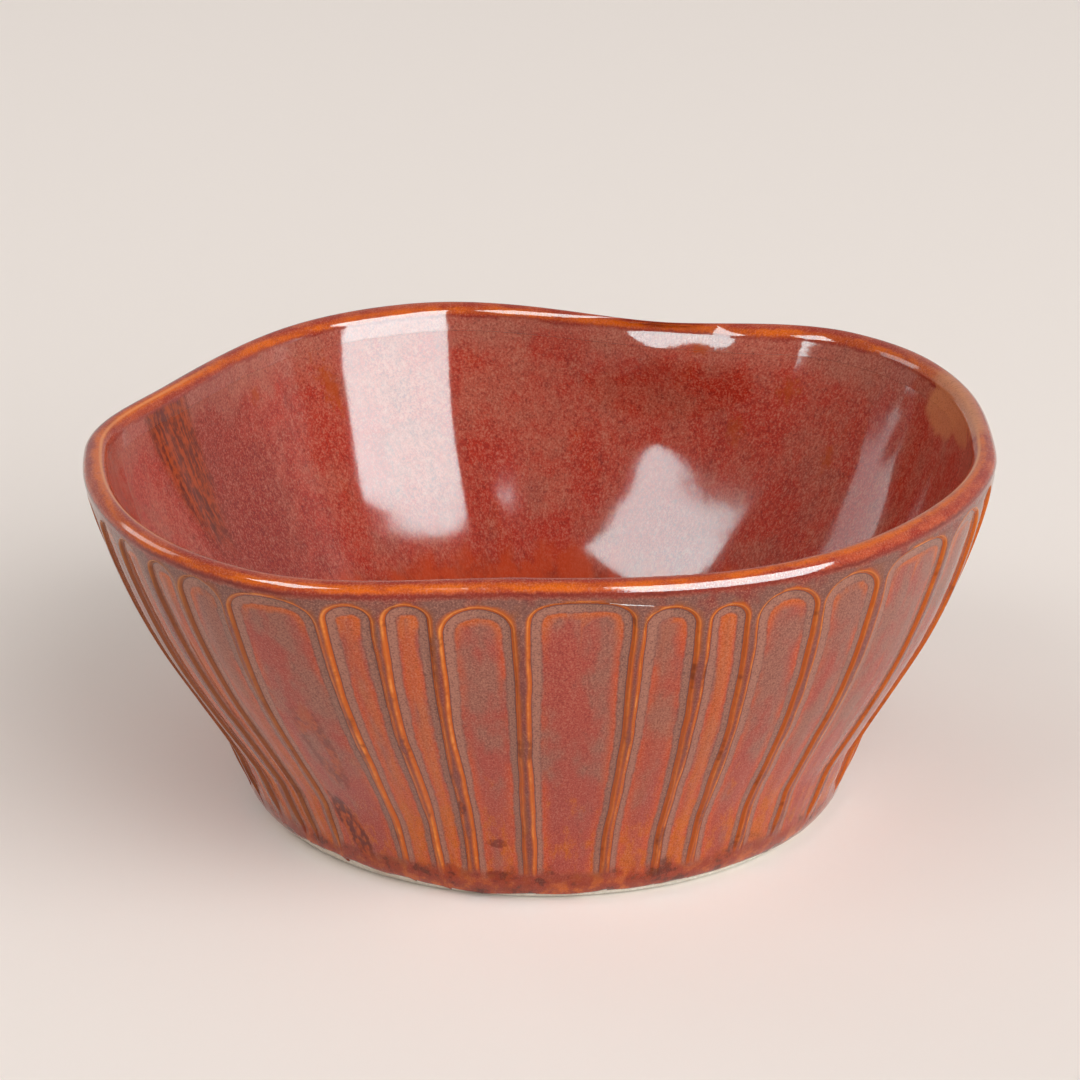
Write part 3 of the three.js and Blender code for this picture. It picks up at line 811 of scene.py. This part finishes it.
def outerFinish():
    finish = Finish(bpy.data.materials.new("outerGlaze"))
    mix, step, band, clouds = finish.mix, finish.step, finish.band, finish.clouds
    where = finish.attribute("unrolled", "Vector")
    height = finish.node("ShaderNodeSeparateXYZ", {}, {0: where}, "Z")
    crest = finish.attribute("pastCrest")
    narrow = finish.attribute("narrow")
    right = step(finish.attribute("leftRight"), -0.2, 0.2)
    fine = finish.noise(where, 1.0, 2, 0.5) - 0.5
    along = clouds(where, 0.45, 0.3)
    patch = clouds(where, 0.6, 0.19)
    flow = clouds(where, 0.22, 0.32)
    pastFoot = finish.attribute("pastFoot") + fine * 0.14
    floorIn = finish.attribute("intoFloor") + fine * 0.5 + (patch - 0.5) * 0.7
    lowness = step(height, *glaze["low"])
    atTop = step(height, *glaze["top"])

    # The floor of a flute, with an orange border that fills the narrow ones and the lower ends
    redness = step(clouds(where, 0.6, 0.15) + lowness * 0.18 + narrow * 0.06, 0.42, 0.66)
    floor = mix(glaze["floorGrey"], glaze["floorRed"], redness)
    border = step(floorIn, 1.9, -0.1) * step(patch + lowness * 0.16 + narrow * 0.08, 0.38, 0.66)
    floor = mix(floor, glaze["floorBorder"], border * 0.85)
    topBorder = atTop * step(floorIn, 2.0, 0.3) * step(patch, 0.34, 0.54)
    floor = mix(floor, glaze["floorAmber"], topBorder * 0.6)
    flowed = narrow * step(flow, 0.32, 0.52) * step(floorIn, 0.1, 0.8)
    floor = mix(floor, glaze["floorAmber"], flowed * 0.75)
    crack = clouds(where, 0.7, 0.3, 4, 0.7) + step(height, *glaze["crackleMore"]) * 0.14 + narrow * 0.1
    crackle = step(crack, 0.6, 0.78) * step(height, *glaze["crackleStart"])
    floor = grained(finish, where, mix(floor, glaze["crackle"], crackle * 0.7), 0.78)

    # The grey band where the glaze lies thick, lighter on the left side and darker on the right as painted
    # light and shade, between two thin dark lines, the one at its outer edge painted shade at the foot of the
    # steep side
    grey = grained(finish, where, mix(glaze["bandLeft"], glaze["bandRight"], right), 0.9)
    inFlute = mix(grey, floor, step(floorIn, -0.3, 0.3))
    inFlute = mix(inFlute, glaze["line"], band(floorIn, *glaze["floorLine"]) * 0.3)

    # The steep side, where the thin glaze is amber with brown patches and a pale crest, and the land above.
    # The pale crest is partly thin glaze and partly a painted highlight, weaker on the right crests
    pale = band(crest, *glaze["crestLine"]) * (step(along + fine * 0.6, 0.4, 0.8) * 0.55 + 0.14)
    amber = mix(glaze["sideAmber"], glaze["crestPaleGlint"], pale * (1 - right * 0.5))
    amber = mix(amber, glaze["sideBrown"], step(patch + fine * 0.3, 0.44, 0.3) * 0.8)
    # Painted shade: the amber goes duller over the far left side of the bowl
    leftShade = step(finish.outOf(where, *glaze["leftShade"]), 1.1, 0.7)
    amber = mix(amber, glaze["sideShadedAmber"], leftShade * 0.75)
    brown = grained(finish, where, glaze["landBrown"], 0.5)
    land = mix(landColour(finish, where), brown, step(height, *glaze["brownLand"]) * 0.7)
    # Painted shade: olive on the land just right of each flute's right crest, where less light falls
    rightShade = step(crest, -1.5, -0.2) * right * step(along + fine * 0.4, 0.4, 0.6)
    land = mix(land, glaze["sideShadeOlive"], rightShade * 0.6)
    colour = mix(land, amber, step(crest + (patch - 0.5) * 0.8, -0.6, 0.02))
    # Painted highlight along the crest of each arch top
    colour = mix(colour, glaze["crestPaleGlint"], band(crest, *glaze["topLine"]) * atTop * 0.3)
    colour = mix(colour, inFlute, step(pastFoot, 0.0, 0.12))
    # Painted shade: a dark line at the foot of each steep side, where the corner of the cut lies in shade
    colour = mix(colour, glaze["line"], band(pastFoot, *glaze["footLine"]) * 0.72)
    colour = mix(land, colour, step(finish.attribute("cutShare"), 0.02, 0.4))

    # Brown stains that ran down, each with its lighter middle
    stain = mix(glaze["stainDark"], glaze["stainAmber"], step(along + fine * 0.4, 0.46, 0.6))
    for *spot, middle, strength in glaze["stains"]:
        reach = finish.outOf(where, *spot) + fine * 0.5 + (flow - 0.5) * 1.2
        colour = mix(colour, stain, step(reach, 1.15, 0.8) * step(reach, middle - 0.2, middle) * strength)

    # The run of thick glaze above the foot
    run = clouds(where, 1.5, 0.2, 4, 0.65)
    thick = mix(glaze["footBrown"], glaze["footAmber"], step(run, 0.5, 0.66))
    thick = mix(thick, glaze["footDark"], step(run, 0.47, 0.36))
    share = step(height + (run - 0.5) * 10.0, *glaze["run"])
    colour = mix(colour, grained(finish, where, thick, 0.3), share * 0.8)
    colour = lipColour(finish, where, height - (bowl["bandFoot"] + bowl["bandRun"]), colour, colour)
    return finish.surface(colour, glaze["gloss"], glossNormal(finish, where, glaze["dimples"]),
                          IOR=glaze["bend"])


def tannedAndLit(finish, where, colour):
    # The colour with the tan patches along the right edge, partly tan glaze where it runs thin and partly a
    # painted highlight on the lip's inner shoulder
    ragged = finish.noise(where, 0.25)
    tan = grained(finish, where, glaze["edgeTanSheen"], 0.8)
    for *spot, strength in glaze["tanSheenEdges"]:
        reach = finish.outOf(where, *spot) + (ragged - 0.5) * 0.9
        colour = finish.mix(colour, tan, finish.step(reach, 1.15, 0.75) * strength)
    return colour


def insideColour(finish, where):
    # The inside from lip to floor: the clouds, a beige wash under the lip, the stains and the amber pool
    mix, step = finish.mix, finish.step
    height = finish.node("ShaderNodeSeparateXYZ", {}, {0: where}, "Z")
    wash = finish.noise(where, 0.12)
    beige = grained(finish, where, glaze["insideWash"], 0.95, 0.75)
    share = step(height + (wash - 0.5) * 22, *glaze["wash"])
    colour = mix(linerColour(finish, where), beige, share * 0.42)
    fine = finish.noise(where, 0.8) - 0.5
    for *spot, strength in glaze["insideSpots"]:
        reach = finish.outOf(where, *spot) + fine * 2.6
        colour = mix(colour, glaze["streakAmber"], step(reach, 1.2, 0.2) * strength)
    angle, at, wide, tall, lean = glaze["streak"]
    away = finish.leaned(where, angle, at, lean)
    stripes = finish.clouds(away, 0.15, 1.2, 4, 0.7)
    amber = mix(glaze["streakBrown"], glaze["streakAmber"], step(stripes + fine * 0.5, 0.38, 0.62))
    reach = finish.reach(away, wide, tall) + (stripes - 0.5) * 0.7
    colour = mix(colour, amber, step(reach, 1.2, 0.75) * 0.9)
    pool = mix(glaze["poolAmber"], glaze["footDark"], step(wash + fine * 0.3, 0.46, 0.7) * 0.6)
    share = step(height + (wash - 0.5) * 14, *glaze["pool"])
    return tannedAndLit(finish, where, mix(colour, pool, share * 0.75))


def lipFinish():
    finish = Finish(bpy.data.materials.new("lipGlaze"))
    where = finish.attribute("unrolled", "Vector")
    out = finish.attribute("pastLip")
    whereInside = finish.attribute("unrolledInside", "Vector")
    inside = insideColour(finish, whereInside)
    colour = lipColour(finish, where, out, landColour(finish, where), inside)
    colour = finish.mix(colour, tannedAndLit(finish, whereInside, colour), finish.step(out, -1.6, 0.4))
    return finish.surface(colour, glaze["gloss"], glossNormal(finish, where, glaze["dimplesLip"]),
                          IOR=glaze["bend"])


def innerFinish():
    finish = Finish(bpy.data.materials.new("innerGlaze"))
    where = finish.attribute("unrolled", "Vector")
    satin = finish.step(finish.outOf(where, *glaze["satinAt"]), 1.15, 0.85)
    roughness = satin * glaze["satin"] + glaze["gloss"]
    return finish.surface(insideColour(finish, where), roughness,
                          glossNormal(finish, where, glaze["dimplesInside"]), IOR=glaze["bendInside"])


clay = {
    "body": tone(206, 196, 180), "pale": tone(224, 217, 205), "stain": tone(190, 164, 140),
    "roughness": 0.75,
    "grain": 1.4, "stains": 0.12,  # cells per millimetre
    "pits": 0.00008,  # depth in metres
}


def clayFinish():
    finish = Finish(bpy.data.materials.new("bareClay"))
    where = finish.stretch(finish.node("ShaderNodeTexCoord", {}, {}, "Object"), (1 / mm, 1 / mm, 1 / mm))
    grain = finish.noise(where, clay["grain"], 4, 0.7)
    stain = finish.step(finish.noise(where, clay["stains"], 3, 0.5), 0.55, 0.75)
    colour = finish.mix(clay["body"], clay["pale"], finish.step(grain, 0.35, 0.65))
    bump = {"Height": grain, "Strength": 1.0, "Distance": clay["pits"]}
    return finish.surface(finish.mix(colour, clay["stain"], stain * 0.5), clay["roughness"],
                          finish.node("ShaderNodeBump", {}, bump, "Normal"))


pieces = [
    (clayBody, clayFinish, "clay_body", "clay"),
    (outerCoat, outerFinish, "outer_glaze", "outer_glaze"),
    (lipCoat, lipFinish, "rim_glaze", "rim_glaze"),
    (innerCoat, innerFinish, "inner_glaze", "inner_glaze"),
]
for make, finishOf, node, slot in pieces:
    piece = make()
    piece.data.materials.append(finishOf())
    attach(piece, "root")
    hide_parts(node)
    print(piece.name, "has", len(piece.data.vertices), "points and", len(piece.data.polygons), "faces")


# The camera stands where the photograph's did: sizes in metres, angles in degrees
view = {
    "place": (-0.0009, -0.6, 0.2602),  # from the middle of the foot ring
    "pitch": 19.67,
    "lens": 120.35,
    "sensor": 36.0,
    "nearest": 0.01,
}
eye = bpy.data.cameras.new("eye")
eye.lens = view["lens"]
eye.sensor_width = view["sensor"]
eye.clip_start = view["nearest"]
camera = bpy.data.objects.new("eye", eye)
aside, back, up = view["place"]
camera.location = (aside - bowlMiddle[0] * mm, back - bowlMiddle[1] * mm, up)
camera.rotation_euler = (math.radians(90 - view["pitch"]), 0, 0)
bpy.context.scene.collection.objects.link(camera)
bpy.context.scene.camera = camera

studio = {
    "floor": 6.0,  # half its side, in metres
    "floorTone": tone(249, 241, 235), "floorRoughness": 0.8,
    "sky": tone(250, 246, 242),
    "skyStrength": 0.44,
    "roomStrength": 0.55,  # the sky's as it shows in gloss and to the camera
    "shine": (0.7, 0.97, 1.0),  # colour of the lamps' light that is for gloss alone
    "distance": 4.5, "shineDistance": 2.24,
    # name, degrees to the right of the camera, degrees up, degrees wide, degrees high, turn, brightness,
    # and the brightness that is added for gloss alone
    "lamps": [
        ("frontRight", 42.5, 30, 56.4, 50.6, -16.5, 2.8, 29.5),
        ("frontLeft", -49.4, 49.2, 34.2, 23.9, -15.5, 1.65, 24.5),
        ("backLeft", -119, 24.2, 22.9, 20.5, 32.9, 1.6, 3.0),
    ],
}


def studioFloor():
    # A matt square, so that no lamp shows in it
    finish = Finish(bpy.data.materials.new("paleFloor"))
    half = studio["floor"]
    mesh = bpy.data.meshes.new("floor")
    corners = [(-half, -half, 0), (half, -half, 0), (half, half, 0), (-half, half, 0)]
    mesh.from_pydata(corners, [], [(0, 1, 2, 3)])
    plain = {"Specular IOR Level": 0.0}
    mesh.materials.append(finish.surface(studio["floorTone"], studio["floorRoughness"], **plain))
    floor = bpy.data.objects.new("floor", mesh)
    bpy.context.scene.collection.objects.link(floor)


def lampAt(name, side, rise, width, height, turn, brightness, reach):
    # An area lamp that faces the bowl. Its power is brightness * pi * area.
    lamp = bpy.data.lights.new(name, "AREA")
    lamp.shape = "RECTANGLE"
    lamp.size = 2 * reach * math.tan(math.radians(width / 2))
    lamp.size_y = 2 * reach * math.tan(math.radians(height / 2))
    lamp.energy = brightness * math.pi * lamp.size * lamp.size_y
    holder = bpy.data.objects.new(name, lamp)
    across, up = math.radians(side), math.radians(rise)
    facing = (Matrix.Rotation(across, 4, "Z") @ Matrix.Rotation(math.pi / 2 - up, 4, "X")
              @ Matrix.Rotation(math.radians(turn), 4, "Z"))
    level = reach * math.cos(up)
    place = (level * math.sin(across), -level * math.cos(across), reach * math.sin(up))
    holder.matrix_world = Matrix.Translation(place) @ facing
    holder.visible_camera = False
    bpy.context.scene.collection.objects.link(holder)
    return holder


def studioLamps():
    # Each lamp is two: one that lights the room, and one nearer that shows in gloss alone
    for name, side, rise, width, height, turn, brightness, shine in studio["lamps"]:
        place = (side, rise, width, height, turn)
        lampAt(name, *place, brightness, studio["distance"])
        gleam = lampAt(name + "Shine", *place, shine, studio["shineDistance"])
        gleam.visible_diffuse = False
        gleam.data.color = studio["shine"]


def studioSky():
    world = bpy.data.worlds.new("sky")
    bpy.context.scene.world = world
    sky = Finish(world)
    seen = sky.node("ShaderNodeLightPath", output="Is Camera Ray")
    mirrored = sky.node("ShaderNodeLightPath", output="Is Glossy Ray")
    strength = sky.node("ShaderNodeMapRange", {}, {
        "Value": sky.node("ShaderNodeMath", {"operation": "MAXIMUM"}, {0: seen, 1: mirrored}),
        "To Min": studio["skyStrength"], "To Max": studio["roomStrength"]})
    back = sky.node("ShaderNodeBackground", {}, {"Color": studio["sky"], "Strength": strength})
    sky.node("ShaderNodeOutputWorld", {}, {"Surface": back})


studioFloor()
studioLamps()
studioSky()
bpy.context.scene.view_settings.view_transform = "Standard"
print("studio ready")
